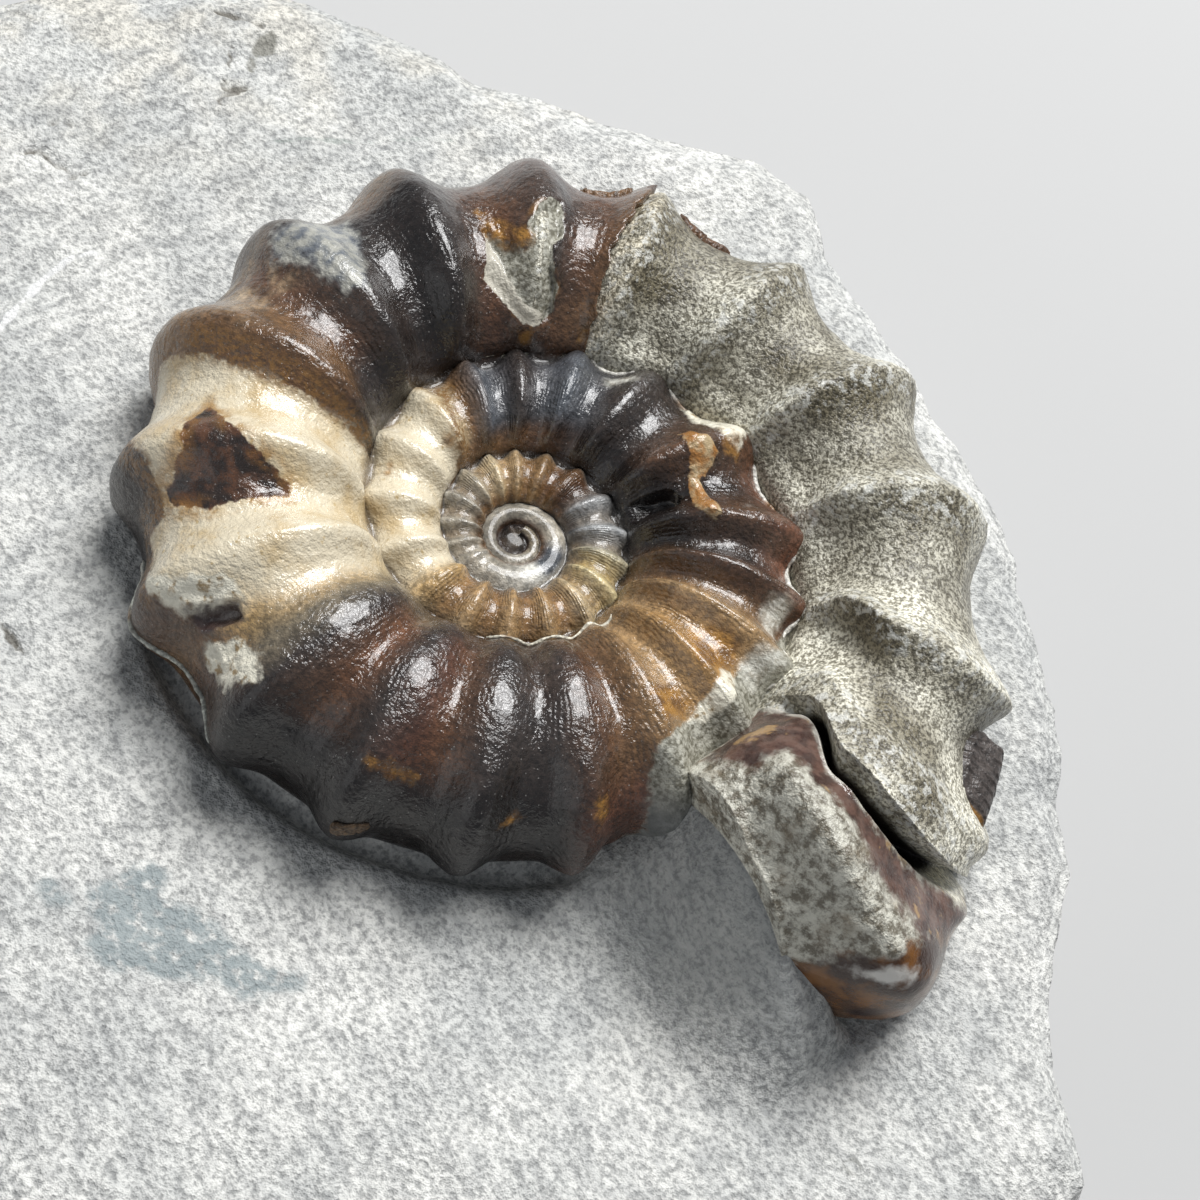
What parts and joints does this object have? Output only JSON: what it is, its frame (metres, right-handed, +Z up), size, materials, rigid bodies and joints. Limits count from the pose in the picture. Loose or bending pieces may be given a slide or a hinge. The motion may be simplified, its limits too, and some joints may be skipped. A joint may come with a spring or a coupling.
{
  "type": "fossil ammonite on matrix rock",
  "caption": "Coiled, strongly ribbed ammonite fossil lying on its side in a loose slab of pale grey rock with a flat underside; a display specimen.",
  "frame": {"origin": "middle of the slab's flat underside", "axes": "+Z up, square to the coil's plane and to the underside; +X to the right and +Y away from the camera in the picture, before the camera's roll"},
  "size_m": [0.109, 0.1056, 0.0389],
  "materials": {
    "fossil_shell": "polished calcite shell, glossy, with dull mudstone filling where the shell is lost",
    "pale_rock": "dull fine-grained rock"
  },
  "bodies": {
    "root": {"ammonite": "fossil_shell", "matrix_rock": "pale_rock"}
  },
  "joints": []
}
